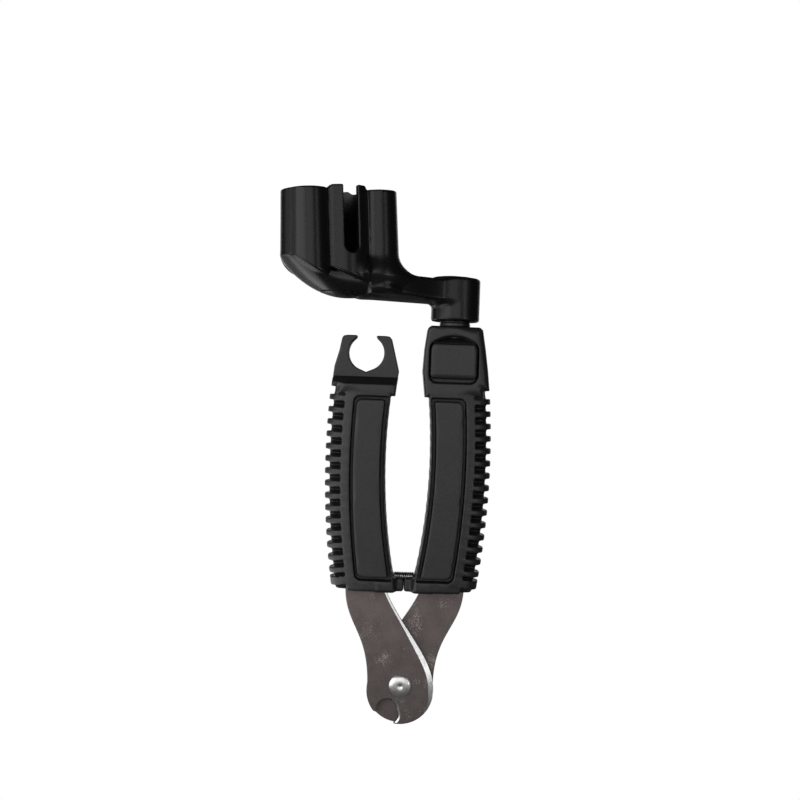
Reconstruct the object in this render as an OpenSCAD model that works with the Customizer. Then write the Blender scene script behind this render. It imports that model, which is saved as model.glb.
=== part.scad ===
// String winder with a built-in string cutter and bridge-pin claw.
// Two ribbed handles close about a rivet, and a crank with a peg cup turns on the right handle.
// +Z runs up the tool towards the cup's mouth, +X to the right, and the front faces -Y.
// Every sub-part is drawn in the tool frame, whose origin is the rivet's centre, and place()
// moves it so that the part's origin is on the crank shaft's axis in the middle of the grip.

/* [Handles] */
// Thickness of a handle, front to back
handle_t = 16; // [14:0.5:18]
// Height of the handles' lower edge above the rivet
handle_z0 = 31.6; // [31.2:0.1:32]
// Height of the shoulder where the ribs end
shoulder_z = 98.5; // [97:0.5:100]
// Height of the right handle's top
handle_z1 = 119.6; // [118.6:0.1:119.6]
// Height at which both handles are widest
belly_z = 75; // [72:0.5:78]
// Half-width over the rib tips at the widest height
tip_x = 27.5; // [27:0.1:28]
// Half-gap between the handles at the widest height
gap_x = 7.5; // [7:0.1:7.8]
// Radius of the arc through the rib tips
tip_arc = 270; // [250:1:300]
// Radius of the handles' inner arc
gap_arc = 200; // [190:1:220]
// Half-gap between the two lugs
lug_gap = 0.13; // [0.1:0.01:0.2]
// Height of the lugs
lug_h = 4.5; // [4.2:0.1:4.8]

/* [Ribs] */
// Number of ribs on each handle
rib_count = 16; // [8:1:16]
// Distance between ribs
rib_pitch = 4.11; // [3.9:0.01:4.12]
// Height of a rib above the shell
rib_h = 1.6; // [1:0.1:1.8]
// Width of a rib
rib_w = 1.9; // [1.6:0.1:2.4]

/* [Inlays] */
// Depth of the recess that an inlay sits in
recess_d = 1.6; // [1.2:0.1:1.8]
// Distance of the inlay from the rib tips
inlay_out = 9.5; // [9:0.1:10]
// Distance of the inlay from the inner edge
inlay_in = 1.6; // [1.5:0.1:2]
// Width of the groove around an inlay
groove = 1.1; // [0.4:0.1:1.1]

/* [Blades] */
// Thickness of a blade
blade_t = 2.5; // [2:0.1:2.8]
// Gap between the two blades
blade_gap = 0.1; // [0.06:0.02:0.2]
// Radius of a blade's round end
blade_end_r = 11.1; // [10.9:0.1:11.3]
// Radius of the string notch
notch_r = 3.5; // [3.2:0.1:3.8]
// Radius of the rivet's shank
rivet_r = 2; // [1.8:0.1:2.2]
// Radius of the rivet's head
rivet_head_r = 3.65; // [3.4:0.05:3.9]

/* [Claw] */
// Radius of the bridge-pin hole
claw_r = 5.85; // [5.4:0.05:6]
// Width of the claw's mouth
claw_mouth = 6.2; // [5.6:0.1:6.4]
// Thickness of the claw
claw_t = 6; // [5:0.5:7]
// Height of the claw's tips
claw_top = 115.9; // [115:0.1:116]

/* [Crank] */
// Distance of the shaft's axis from the tool's centre plane
shaft_x = 14.1; // [13.8:0.1:14.3]
// Radius of the shaft
shaft_r = 2.5; // [2.2:0.1:2.8]
// Distance from the shaft to the cup's centre
throw = 42.8; // [41:0.1:44]
// Angle of the crank, turned so that the cup is towards the front
crank_turn = 26; // [0:1:40]
// Half-length of the cup
cup_l = 19.2; // [18.5:0.1:19.5]
// Half-width of the cup
cup_w = 10; // [9.8:0.1:10.4]
// Wall of the cup
cup_wall = 2; // [1.6:0.1:2.2]
// Height of the cup's rim
rim_z = 161.1; // [158:0.1:164]
// Depth of the steps at both ends of the rim
rim_step = 1.1; // [0.5:0.1:2]
// Lean of the cup's axis away from the shaft
cup_lean = 3.2; // [0:0.2:4]
// Depth of the cup
cup_depth = 24.5; // [20:0.5:25]
// Width of the slot in the cup's near wall
slot_w = 4.8; // [4:0.1:5.5]
// Depth of the slot
slot_d = 21; // [16:0.5:21]
// Radius of the hub
hub_r = 8.15; // [7.8:0.05:8.4]

/* [Hidden] */
$fn = 48;
big_fn = 240;
slack = 0.05;             // running clearance of a shaft in its hole
fit = 0.1;                // gap round a piece that is set into another
past = 1;                 // how far a cutter reaches past what it cuts

half_t = handle_t / 2;
grip_z = 66;              // height of the part's origin above the rivet
root_arc = tip_arc - rib_h;
rib_z = shoulder_z - 3.45; // height of the topmost rib
inlay_z0 = 36.25;
inlay_z1 = 94.5;
floor_y = half_t - recess_d;
core_wall = 2.2;
core_z0 = 66;
core_z1 = 86;
core_d = floor_y - 1.6;

pin_r = 1.5;
pin_half_l = 5;
pin_at = [[13, 40], [13.4, 54]];
screw_r = 1.25;
screw_head_r = 2.4;
screw_head_t = 1.6;
screw_tip_y = -4.5;
screw_at = [[13.6, 62], [13.9, 90.5]];
boss_r = 3;

spring_z = 35.9;
spring_r = 1.6;
wire_r = 0.3;
spring_half_l = 3.9;      // the coil reaches this far each way from the centre plane
post_x = 5;               // moulded posts that hold the spring's end loops
post_r = 0.75;

blade_y = blade_gap / 2;  // face of each blade nearest to the centre plane
blade_y1 = blade_y + blade_t;
tang_top = 60;
jaw_x = 4.1;              // centre of the notch, from the centre plane
jaw_z = -8;

claw_x = 14.9;            // centre of the bridge-pin hole, on the left handle
claw_z = 109.9;
claw_z0 = 100.5;
vee_d = 1.085;            // depth of the hole's V-shaped foot below its centre, in radii

window = [5.9, 100.6, 21.9, 116.1];
window_arch = 12.1;
window_y = 5.2;
pad_z = [103.7, 113.4];
pad_y = half_t + 1.1;

bush_r = 4;
bush_flange_r = 5.1;
bush_z0 = 105;
washer_z = [120.75, 121.2];
hub_z = [121.25, 135.6];
shaft_z = [98.5, 133];
clip_z = [103.6, 104.4];
clip_r = 4.6;
groove_r = 1.9;
clip_room_r = 5.4;
clip_room_z = [97.5, bush_z0];

cup_z0 = 126.4;
arm_z = [126.4, 134.7];
arm_w = 14;
mid_lobe_r = 9.2;
corner_lobe_r = 5.95;
end_lobe_r = 7.5;
lean_z = 148;             // height at which the leaning cup is where the throw says
step_x = 5.8;             // distance of the rim's steps from the slot's middle
keel_z = 134;             // height at which the cup's underside starts to curve in
keel_w = 6.3;             // half-width of its flat part
plug_r = 6.2;
plug_z = [cup_z0, 128.2];

// ---- helpers -------------------------------------------------------------

// Moves a sub-part from the tool frame to the part's frame.
module place() {
  translate([-shaft_x, 0, -grip_z]) children();
}

// Extrudes a front-view outline (x, z) from y0 to y1.
module plate(y0, y1) {
  translate([0, y1, 0]) rotate([90, 0, 0]) linear_extrude(height = y1 - y0) children();
}

// A straight round bar along Y, from y0 to y1.
module y_bar(at, r, y0, y1) {
  translate([at[0], y1, at[1]]) rotate([90, 0, 0]) cylinder(r = r, h = y1 - y0);
}

// A straight round bar along Z, from z[0] to z[1].
module z_bar(r, z) {
  translate([0, 0, z[0]]) cylinder(r = r, h = z[1] - z[0]);
}

// Draws its children on the left handle, which mirrors the right one.
module left() {
  mirror([1, 0, 0]) children();
}

// A point on the cubic curve a, b, c, d.
function curve_at(a, b, c, d, t) =
  pow(1 - t, 3) * a + 3 * t * pow(1 - t, 2) * b + 3 * t * t * (1 - t) * c + pow(t, 3) * d;

// The curve's points, with steps + 1 of them.
function curve(a, b, c, d, steps = 12) =
  [for (i = [0:steps]) curve_at(a, b, c, d, i / steps)];

// ---- outlines of a handle, drawn for the right one ------------------------

// The band between the inner arc and an outer arc.
module band_2d(out_r, in_r, z0, z1) {
  difference() {
    intersection() {
      translate([tip_x - tip_arc, belly_z]) circle(r = out_r, $fn = big_fn);
      translate([0, z0]) square([tip_x + past, z1 - z0]);
    }
    translate([gap_x - gap_arc, belly_z]) circle(r = in_r, $fn = big_fn);
  }
}

// One rib after another along the outer arc, and a flange at the lower edge.
module ribs_2d() {
  band_2d(tip_arc, gap_arc, handle_z0, handle_z0 + 2.8);
  translate([tip_x - tip_arc, belly_z])
    for (i = [0:rib_count - 1]) {
      up = rib_z - i * rib_pitch - belly_z;
      rotate(asin(up / tip_arc)) translate([root_arc - past, -rib_w / 2]) square([rib_h + past, rib_w]);
    }
}

// The lug at the inner lower corner, which meets the other handle's lug.
module lug_2d() {
  r = 0.9;
  hull() {
    for (z = [handle_z0 + r, handle_z0 + lug_h - r]) translate([lug_gap + r, z]) circle(r = r);
    translate([8, handle_z0]) square([1, lug_h]);
  }
}

// The neck of the right handle, above the ribs.
module neck_2d() {
  polygon([
    [4.9, 95.8], [3.9, 104.5], [4.3, 112], [5.1, 118.4], [6.2, handle_z1],
    [22.2, handle_z1], [23.3, 118.4], [24.4, 112], [25.4, 105], [26.1, shoulder_z],
    [24.2, shoulder_z], [24.2, 95.8]
  ]);
}

module handle_2d() {
  band_2d(root_arc, gap_arc, handle_z0, shoulder_z);
  ribs_2d();
  lug_2d();
}

// Outline of an inlay, grown by g all round.
module inlay_2d(g = 0) {
  band_2d(tip_arc - inlay_out + g, gap_arc + inlay_in - g, inlay_z0 - g, inlay_z1 + g);
}

// The hollow core of a shell, which leaves its walls.
module core_2d() {
  band_2d(root_arc - core_wall, gap_arc + core_wall, core_z0, core_z1);
}

// The window in the right handle's top, smaller by g all round.
module window_2d(g = 0) {
  intersection() {
    translate([window[0] + g, window[1] + g])
      square([window[2] - window[0] - 2 * g, window[3] - window[1] - g]);
    translate([(window[0] + window[2]) / 2, window[3] - window_arch]) circle(r = window_arch - g);
  }
}

// ---- outlines of a blade, drawn for the front one on the left -------------

// The blade's outline down one edge, round the end and up the other edge.
module blade_2d() {
  polygon(concat(
    [[-11.2, tang_top], [-17.2, tang_top], [-18.8, 42]],
    curve([-19.2, 31], [-18.6, 19.5], [-10.9, 16.5], [-10.9, 0]),
    curve([10.9, 0], [10.6, 9.4], [-1.2, 20.5], [-5.6, 31]),
    [[-8.4, 42]]
  ));
  translate([0, -1.6]) circle(r = blade_end_r);
}

// The notch that a string goes into, open at the lower end.
module notch_2d() {
  translate([-jaw_x, jaw_z]) circle(r = notch_r);
  polygon(concat(
    [[-jaw_x - notch_r, jaw_z], [-11, -14.5], [-2.6, -14.5]],
    curve([-1.9, -13.2], [-0.3, -11.6], [0.4, -10], [-jaw_x + notch_r, jaw_z], 6)
  ));
}

// A blade with its notch, its pin holes and its rivet hole of radius r.
module blade(r, y0) {
  difference() {
    plate(y0, y0 + blade_t) difference() {
      blade_2d();
      notch_2d();
    }
    y_bar([0, 0], r, y0 - past, y0 + blade_t + past);
    for (p = pin_at) y_bar([-p[0], p[1]], pin_r, y0 - past, y0 + blade_t + past);
  }
}

// ---- parts of a handle ----------------------------------------------------

// The room for a tang between the shells.
module tang_room(y0, y1) {
  plate(y0, y1) difference() {
    blade_2d();
    translate([-30, -30]) square([60, handle_z0 + 30 - past]);
  }
}

// The trench that the spring lies in, along the tops of both lugs, with a post left standing at each end.
module spring_room() {
  r = spring_r + 0.4;
  l = post_x + 1.6;
  difference() {
    translate([-l, 0, spring_z]) rotate([0, 90, 0]) cylinder(r = r, h = 2 * l);
    for (side = [-1, 1]) y_bar([side * post_x, spring_z], post_r, -r, r);
  }
}

// The holes that pins and screws take through both shells.
module fastener_holes(head = true) {
  for (p = pin_at) y_bar(p, pin_r, -pin_half_l, pin_half_l);
  for (p = screw_at) {
    y_bar(p, screw_r, screw_tip_y, half_t);
    y_bar(p, screw_head_r + fit, floor_y - screw_head_t - fit, half_t);
  }
}

// What is cut from the front shell of either handle, drawn for the right one.
module front_cuts() {
  plate(-half_t - past, -floor_y) inlay_2d(groove);
  difference() {
    plate(-core_d, past) core_2d();
    for (p = screw_at) y_bar(p, boss_r, -half_t, half_t);
  }
  fastener_holes();
}

// What is cut from the back shell of either handle, drawn for the right one.
module back_cuts() {
  plate(floor_y, half_t + past) inlay_2d(groove);
  difference() {
    plate(-past, core_d) core_2d();
    for (p = screw_at) y_bar(p, boss_r, -half_t, half_t);
  }
  fastener_holes();
}

// The bush, the clip and the shaft's end have room in both right shells.
module shaft_room() {
  translate([shaft_x, 0, 0]) {
    z_bar(bush_r, [bush_z0 - past, handle_z1 + past]);
    z_bar(clip_room_r, clip_room_z);
  }
}

module inlay(y0, y1) {
  plate(y0, y1) inlay_2d(0);
}

module tang_pins() {
  for (p = pin_at) y_bar(p, pin_r, -pin_half_l, pin_half_l);
}

// Screws that go in from the back, with a cross-slotted pan head.
module shell_screws() {
  for (p = screw_at) difference() {
    union() {
      y_bar(p, screw_r, screw_tip_y, floor_y - screw_head_t / 2);
      y_bar(p, screw_head_r, floor_y - screw_head_t, floor_y);
    }
    for (turn = [0, 90])
      translate([p[0], floor_y, p[1]]) rotate([0, turn, 0]) cube([2.6, 1.6, 0.6], center = true);
  }
}

// ---- right handle -----------------------------------------------------------

module right_front_shell() {
  color([0.16, 0.16, 0.17]) place() difference() {
    union() {
      plate(-half_t, 0) handle_2d();
      plate(-half_t, 0) neck_2d();
    }
    front_cuts();
    shaft_room();
    spring_room();
    plate(-half_t - past, -window_y) window_2d();
  }
}

module right_back_shell() {
  color([0.16, 0.16, 0.17]) place() difference() {
    union() {
      plate(0, half_t) handle_2d();
      plate(0, half_t) neck_2d();
    }
    back_cuts();
    shaft_room();
    spring_room();
    left() tang_room(-past, blade_y1);
  }
}

module right_front_inlay() {
  color([0.24, 0.24, 0.25]) place() inlay(-half_t, -floor_y);
}

module right_back_inlay() {
  color([0.24, 0.24, 0.25]) place() inlay(floor_y, half_t);
}

module back_blade() {
  color([0.42, 0.38, 0.37]) place() left() blade(rivet_r, blade_y);
}

module right_tang_pins() {
  color("silver") place() tang_pins();
}

module right_shell_screws() {
  color("silver") place() shell_screws();
}

// Flanged bush, whose flange lies on the handle's top.
module shaft_bush() {
  color([0.1, 0.1, 0.1]) place() translate([shaft_x, 0, 0]) difference() {
    union() {
      z_bar(bush_r, [bush_z0, washer_z[0] - slack]);
      z_bar(bush_flange_r, [handle_z1, washer_z[0] - slack]);
    }
    z_bar(shaft_r + slack, [bush_z0 - past, washer_z[1] + past]);
  }
}

// Cover of the clip's room, with a raised pad across it.
module shaft_cover() {
  color([0.2, 0.2, 0.21]) place() {
    plate(-half_t + 0.9, -window_y) window_2d(fit);
    plate(-pad_y, -half_t + 0.9) intersection() {
      window_2d(fit);
      translate([0, pad_z[0]]) square([30, pad_z[1] - pad_z[0]]);
    }
  }
}

// Rivet with a dished head at the front and a formed tail at the back.
module pivot_rivet() {
  color("silver") place() difference() {
    union() {
      y_bar([0, 0], rivet_head_r, -blade_y1 - 1.4, -blade_y1);
      y_bar([0, 0], rivet_r, -blade_y1 - 0.5, blade_y1 + 1.6);
      y_bar([0, 0], rivet_head_r - 0.6, blade_y1 + 0.6, blade_y1 + 1.8);
    }
    y_bar([0, 0], 2.2, -blade_y1 - 1.4 - past, -blade_y1 - 1);
  }
}

module rivet_washer() {
  color("silver") place() difference() {
    y_bar([0, 0], rivet_head_r + 0.6, blade_y1, blade_y1 + 0.6);
    y_bar([0, 0], rivet_r, blade_y1 - past, blade_y1 + 0.6 + past);
  }
}

// Extension spring that draws the handles together: its coil, as a tube, and two end loops.
module handle_spring() {
  loop_r = post_r + slack + wire_r;
  color("lightgrey") place() translate([0, 0, spring_z]) {
    rotate([0, 90, 0]) difference() {
      cylinder(r = spring_r, h = 2 * spring_half_l, center = true);
      cylinder(r = spring_r - 2 * wire_r, h = 2 * spring_half_l - 4 * wire_r, center = true);
    }
    for (side = [-1, 1])
      translate([side * post_x, 0, 0]) rotate([90, 0, 0])
        rotate_extrude() translate([loop_r, 0]) circle(r = wire_r);
  }
}

// ---- left handle -------------------------------------------------------------

// The neck of the left handle up to the claw, drawn on the right.
module claw_neck_2d(z1) {
  intersection() {
    polygon([
      [4.9, 95.8], [4.1, 103], [5, 108], [24.7, 108], [25.4, 105.2], [26.1, shoulder_z],
      [24.2, shoulder_z], [24.2, 95.8]
    ]);
    translate([0, 90]) square([30, z1 - 90]);
  }
}

// The claw, drawn on the right: two prongs round a hole with a mouth and a V-shaped foot.
module claw_2d() {
  // The foot's sides are tangent to the hole at (vee_x, -vee_z) from its centre.
  vee_z = claw_r / vee_d;
  vee_x = sqrt(claw_r * claw_r - vee_z * vee_z);
  difference() {
    polygon([
      [4.5, claw_z0], [3.9, 104], [6.5, 114.4], [7.4, 115.6], [8.6, claw_top],
      [21.2, claw_top], [22.6, 115.5], [23.2, 114.4], [23.9, 110.6], [25.4, 105.2], [25.9, claw_z0]
    ]);
    translate([claw_x, claw_z]) {
      circle(r = claw_r);
      polygon([[0, -claw_r * vee_d], [vee_x, -vee_z], [0, 0], [-vee_x, -vee_z]]);
    }
    translate([claw_x - claw_mouth / 2, claw_z]) square([claw_mouth, 10]);
  }
}

module left_front_shell() {
  color([0.16, 0.16, 0.17]) place() difference() {
    left() difference() {
      union() {
        plate(-half_t, 0) handle_2d();
        plate(-half_t, 0) claw_neck_2d(claw_z0);
      }
      front_cuts();
    }
    spring_room();
    tang_room(-blade_y1, past);
  }
}

module left_back_shell() {
  color([0.16, 0.16, 0.17]) place() difference() {
    left() union() {
      difference() {
        union() {
          plate(0, half_t) handle_2d();
          plate(0, half_t) claw_neck_2d(claw_z0 + 2);
        }
        back_cuts();
      }
      plate(-claw_t / 2, claw_t / 2) claw_2d();
    }
    spring_room();
  }
}

module left_front_inlay() {
  color([0.24, 0.24, 0.25]) place() left() inlay(-half_t, -floor_y);
}

module left_back_inlay() {
  color([0.24, 0.24, 0.25]) place() left() inlay(floor_y, half_t);
}

module front_blade() {
  color([0.42, 0.38, 0.37]) place() blade(rivet_r + slack, -blade_y1);
}

module left_tang_pins() {
  color("silver") place() left() tang_pins();
}

module left_shell_screws() {
  color("silver") place() left() shell_screws();
}

// ---- crank -------------------------------------------------------------------

// Moves its children to the crank's frame: the shaft on the axis, the cup along +X.
module on_crank() {
  place() translate([shaft_x, 0, 0]) rotate(180 + crank_turn) children();
}

// Plan of the cup, smaller by g all round: two middle lobes, four corner lobes, two end lobes.
module cup_2d(g = 0) {
  translate([throw, 0]) {
    for (s = [-1, 1]) {
      translate([0, s * (cup_w - mid_lobe_r)]) circle(r = mid_lobe_r - g);
      translate([s * (cup_l - end_lobe_r), 0]) circle(r = end_lobe_r - g);
      for (t = [-1, 1])
        translate([s * (cup_l - 7.4), t * (cup_w - 0.1 - corner_lobe_r)]) circle(r = corner_lobe_r - g);
    }
    square([2 * cup_l - 12, 2 * cup_w - 6 - 2 * g], center = true);
  }
}

// Side view of the head, in the crank's plane: round underside, arm and hub.
module head_side_2d() {
  polygon(concat(
    [[throw - cup_l - 3, cup_z0]],
    curve([throw - 2, cup_z0], [throw + 8, cup_z0], [throw + cup_l, 131], [throw + cup_l + 0.4, 142]),
    [[throw + cup_l + 3, 142], [throw + cup_l + 3, rim_z + 3], [throw - cup_l - 3, rim_z + 3]]
  ));
}

// End view of the cup (across, up): its underside curves in to a flat keel.
module head_end_2d() {
  polygon(concat(
    curve([-cup_w - slack, keel_z], [-cup_w, 130], [-8.4, cup_z0], [-keel_w, cup_z0]),
    curve([keel_w, cup_z0], [8.4, cup_z0], [cup_w, 130], [cup_w + slack, keel_z]),
    [[cup_w + slack, rim_z + 3], [-cup_w - slack, rim_z + 3]]
  ));
}

// Leans its children with the cup.
module leaning() {
  translate([throw, 0, lean_z]) rotate([0, cup_lean, 0]) translate([-throw, 0, -lean_z]) children();
}

// The solid cup: its plan, less a step at each end of the rim.
module cup_block() {
  leaning() difference() {
    translate([0, 0, cup_z0 - 2]) linear_extrude(height = rim_z - cup_z0 + 2) cup_2d();
    for (s = [-1, 1])
      translate([throw + s * (step_x + cup_l / 2) - cup_l / 2, -15, rim_z - rim_step])
        cube([cup_l, 30, rim_step + past]);
  }
}

module winder_head() {
  color([0.06, 0.06, 0.06]) on_crank() difference() {
    union() {
      intersection() {
        cup_block();
        plate(-cup_w - past, cup_w + past) head_side_2d();
        rotate([90, 0, 90]) linear_extrude(height = throw + cup_l + 3) head_end_2d();
      }
      translate([0, -arm_w / 2, arm_z[0]]) cube([throw - cup_l + 3, arm_w, arm_z[1] - arm_z[0]]);
      z_bar(hub_r, hub_z);
    }
    leaning() {
      translate([0, 0, rim_z - cup_depth]) linear_extrude(height = cup_depth + past) cup_2d(cup_wall);
      // The crank's turn puts the near wall on the cup's +Y side.
      translate([throw - slot_w / 2, 0, rim_z - slot_d + slot_w / 2])
        cube([slot_w, cup_w + past, slot_d + past]);
      y_bar([throw, rim_z - slot_d + slot_w / 2], slot_w / 2, 0, cup_w + past);
    }
    z_bar(shaft_r, [hub_z[0] - past, shaft_z[1]]);
    translate([throw, 0, 0]) z_bar(plug_r, [cup_z0 - past, plug_z[1]]);
  }
}

// Shaft with a groove for the clip.
module winder_shaft() {
  color("silver") on_crank() difference() {
    z_bar(shaft_r, shaft_z);
    difference() {
      z_bar(shaft_r + past, clip_z);
      z_bar(groove_r, clip_z);
    }
  }
}

module head_plug() {
  color([0.1, 0.1, 0.1]) on_crank() translate([throw, 0, 0]) z_bar(plug_r, plug_z);
}

module thrust_washer() {
  color([0.1, 0.1, 0.1]) on_crank() difference() {
    z_bar(bush_flange_r - 0.1, washer_z);
    z_bar(shaft_r, [washer_z[0] - past, washer_z[1] + past]);
  }
}

// Open clip that sits in the shaft's groove.
module retaining_clip() {
  color("silver") on_crank() difference() {
    z_bar(clip_r, clip_z);
    z_bar(groove_r, [clip_z[0] - past, clip_z[1] + past]);
    translate([0, -groove_r * 0.8, clip_z[0] - past]) cube([clip_r + past, groove_r * 1.6, 3]);
  }
}

// ---- all the sub-parts ---------------------------------------------------------

right_front_shell();
right_back_shell();
right_front_inlay();
right_back_inlay();
back_blade();
right_tang_pins();
right_shell_screws();
shaft_bush();
shaft_cover();
pivot_rivet();
rivet_washer();
handle_spring();
left_front_shell();
left_back_shell();
left_front_inlay();
left_back_inlay();
front_blade();
left_tang_pins();
left_shell_screws();
winder_head();
winder_shaft();
head_plug();
thrust_washer();
retaining_clip();
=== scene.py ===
"""Looks of a string winder: a crank with a peg cup on a pair of ribbed handles with cutter blades.

Shapes are drawn in millimetres in the tool frame: the rivet's centre is the origin, +X points from
the left handle to the right one, +Y into the back and +Z up the tool. Moulded pieces are skins of
distance fields (negative inside), and sheet-metal and turned pieces are built from their outlines.
"""

import math

import bmesh
import bpy
import numpy as np
import openvdb
from mathutils import Matrix, Vector
from mathutils.geometry import tessellate_polygon


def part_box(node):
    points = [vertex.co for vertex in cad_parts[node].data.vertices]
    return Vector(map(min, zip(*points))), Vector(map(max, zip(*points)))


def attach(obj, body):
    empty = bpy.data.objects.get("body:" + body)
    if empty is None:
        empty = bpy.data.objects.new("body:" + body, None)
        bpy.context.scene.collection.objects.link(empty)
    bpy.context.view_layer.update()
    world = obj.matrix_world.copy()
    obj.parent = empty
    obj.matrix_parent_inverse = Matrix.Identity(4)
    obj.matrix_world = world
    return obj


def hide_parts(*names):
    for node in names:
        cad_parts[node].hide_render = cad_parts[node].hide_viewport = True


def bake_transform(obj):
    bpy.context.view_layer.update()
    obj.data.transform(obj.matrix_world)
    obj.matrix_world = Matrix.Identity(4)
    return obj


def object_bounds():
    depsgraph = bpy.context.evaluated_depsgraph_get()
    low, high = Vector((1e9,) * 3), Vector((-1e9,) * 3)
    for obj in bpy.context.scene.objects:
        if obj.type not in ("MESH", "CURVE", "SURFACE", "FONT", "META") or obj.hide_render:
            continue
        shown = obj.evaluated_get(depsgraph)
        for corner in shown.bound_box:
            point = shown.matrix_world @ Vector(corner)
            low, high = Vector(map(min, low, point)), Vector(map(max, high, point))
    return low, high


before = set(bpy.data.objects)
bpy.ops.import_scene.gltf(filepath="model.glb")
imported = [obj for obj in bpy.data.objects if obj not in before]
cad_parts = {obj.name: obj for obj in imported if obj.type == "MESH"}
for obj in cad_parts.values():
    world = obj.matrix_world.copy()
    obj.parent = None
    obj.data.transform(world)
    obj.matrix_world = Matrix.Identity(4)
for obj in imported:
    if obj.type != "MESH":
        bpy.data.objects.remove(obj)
cad_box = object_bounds()

MM = 0.001
SIDES = {"right": 1, "left": -1}


# ---- places and sizes, from the frame --------------------------------------

def middle(node):
    low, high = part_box(node)
    return (low + high) / 2


RIVET = middle("pivot_rivet")
ORIGIN = Vector((RIVET.x, 0, RIVET.z))


def corners(node):
    """Lowest and highest corner of a CAD node, in mm in the tool frame."""
    return [(corner - ORIGIN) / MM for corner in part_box(node)]


shell_low, shell_high = corners("right_back_shell")
HALF_T = shell_high.y                   # half the thickness of a handle
HANDLE_Z0 = shell_low.z                 # lower edge of both handles
HANDLE_Z1 = shell_high.z                # top of the right handle
LUG_GAP = shell_low.x                   # half the gap between the lugs
TIP_X = shell_high.x                    # widest point, over the rib tips
INLAY_Z0 = corners("right_front_inlay")[0].z
INLAY_Z1 = corners("right_front_inlay")[1].z
FLOOR_Y = corners("right_back_inlay")[0].y
CLAW_Z1 = corners("left_back_shell")[1].z
CLAW_HALF_T = -corners("left_back_shell")[0].y
BLADE_Y0 = corners("back_blade")[0].y   # the blade's faces nearest to and furthest from y = 0
BLADE_Y1 = corners("back_blade")[1].y
SHAFT = (middle("winder_shaft") - ORIGIN) / MM
SHAFT_R = (corners("winder_shaft")[1].x - corners("winder_shaft")[0].x) / 2
PLUG = (middle("head_plug") - ORIGIN) / MM
PLUG_R = (corners("head_plug")[1].x - corners("head_plug")[0].x) / 2
HUB_Z0 = corners("winder_head")[0].z
RIM_Z = corners("winder_head")[1].z
KEEL_Z = corners("head_plug")[0].z
PLUG_Z1 = corners("head_plug")[1].z
SPRING_Z = ((middle("handle_spring") - ORIGIN) / MM).z
SPRING_R = (corners("handle_spring")[1].z - corners("handle_spring")[0].z) / 2
COVER_FACE_Y = -corners("shaft_cover")[0].y

# sizes that boxes don't tell
BELLY_Z = 75
TIP_ARC = 270
GAP_ARC = 200
GAP_X = 7.5
SHOULDER_Z = 98.5
RIB_Z = SHOULDER_Z - 3.45
RIB_COUNT = 16
RIB_PITCH = 4.11
RIB_H = 1.6
RIB_W = 1.9
RIB_REACH = 5.4                         # how far the ribs reach onto a face, from their tips
STRIP = 8.3                             # width of the bevelled strip outside an inlay, from the tips
LUG_H = 4.5
INLAY_OUT = 9.5
INLAY_IN = 1.6
INLAY_CORNER = 1.8
GROOVE = 1.1
NECK_OUT = [(25.4, 105), (26.1, SHOULDER_Z), (24.2, SHOULDER_Z), (24.2, 95.8)]
NECK = [(4.9, 95.8), (3.9, 104.5), (4.3, 112), (5.1, 118.4), (6.2, HANDLE_Z1), (22.2, HANDLE_Z1),
        (23.3, 118.4), (24.4, 112)] + NECK_OUT
CLAW_NECK = [(4.9, 95.8), (4.1, 103), (5, 108), (24.7, 108)] + NECK_OUT
WINDOW = (5.9, 100.6, 21.9, 116.1)
WINDOW_ARCH = 12.1
GROOVE_Y = 4.4
WINDOW_Y = 5.2
PAD_Z0 = 102.2
PAD_Z1 = 113.4
CLAW = [(4.5, 100.5), (3.9, 104), (6.5, 114.4), (7.4, 115.6), (8.6, CLAW_Z1), (21.2, CLAW_Z1),
        (22.6, 115.5), (23.2, 114.4), (23.9, 110.6), (25.4, 105.2), (25.9, 100.5)]
CLAW_AT = (14.9, 109.9)
CLAW_R = 5.85
CLAW_VEE = 1.085                        # depth of the V-shaped foot below the hole's centre, in radii
CLAW_MOUTH = 6.2
CLAW_STEP_Z = 100.5
CUP_L = 19.05
CUP_W = 9.9
CUP_LEAN = 3.2
CUP_DRAFT = 0.022
LEAN_Z = 148
RIM_MID_Z = 161.1
RIM_STEP = 1.1
CUP_WALL = 2
CUP_DEPTH = 24.5
SLOT_W = 4.8
SLOT_D = 21
HUB_R = 8.05
HUB_Z1 = 135.6
ARM_Z1 = 134.7

STEP = 0.25                             # spacing of the points that the moulded pieces are drawn on


# ---- distance fields ----------------------------------------------------------

class Lattice:
    """Points on a regular grid from low to high, as three arrays that broadcast together."""

    def __init__(self, low, high, step):
        self.low, self.step = np.array(low, float), step
        counts = [int(math.ceil((b - a) / step)) + 1 for a, b in zip(low, high)]
        axes = [a + step * np.arange(n) for a, n in zip(low, counts)]
        self.x, self.y, self.z = np.meshgrid(*axes, indexing="ij", sparse=True)


def both(a, b, r=0.0):
    """Inside a and inside b, with the edge between them rounded to radius r."""
    if np.isscalar(r) and r == 0:
        return np.maximum(a, b)
    return np.minimum(-r, np.maximum(a, b)) + np.hypot(np.maximum(r + a, 0), np.maximum(r + b, 0))


def either(a, b, r=0.0):
    """Inside a or inside b, with a fillet of radius r between them."""
    if np.isscalar(r) and r == 0:
        return np.minimum(a, b)
    return np.maximum(r, np.minimum(a, b)) - np.hypot(np.maximum(r - a, 0), np.maximum(r - b, 0))


def less(a, b, r=0.0):
    """Inside a and outside b, with the edge rounded to radius r."""
    return both(a, -b, r)


def disc(x, y, cx, cy, r):
    return np.hypot(x - cx, y - cy) - r


def smoothstep(t):
    t = np.clip(t, 0, 1)
    return t * t * (3 - 2 * t)


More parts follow.
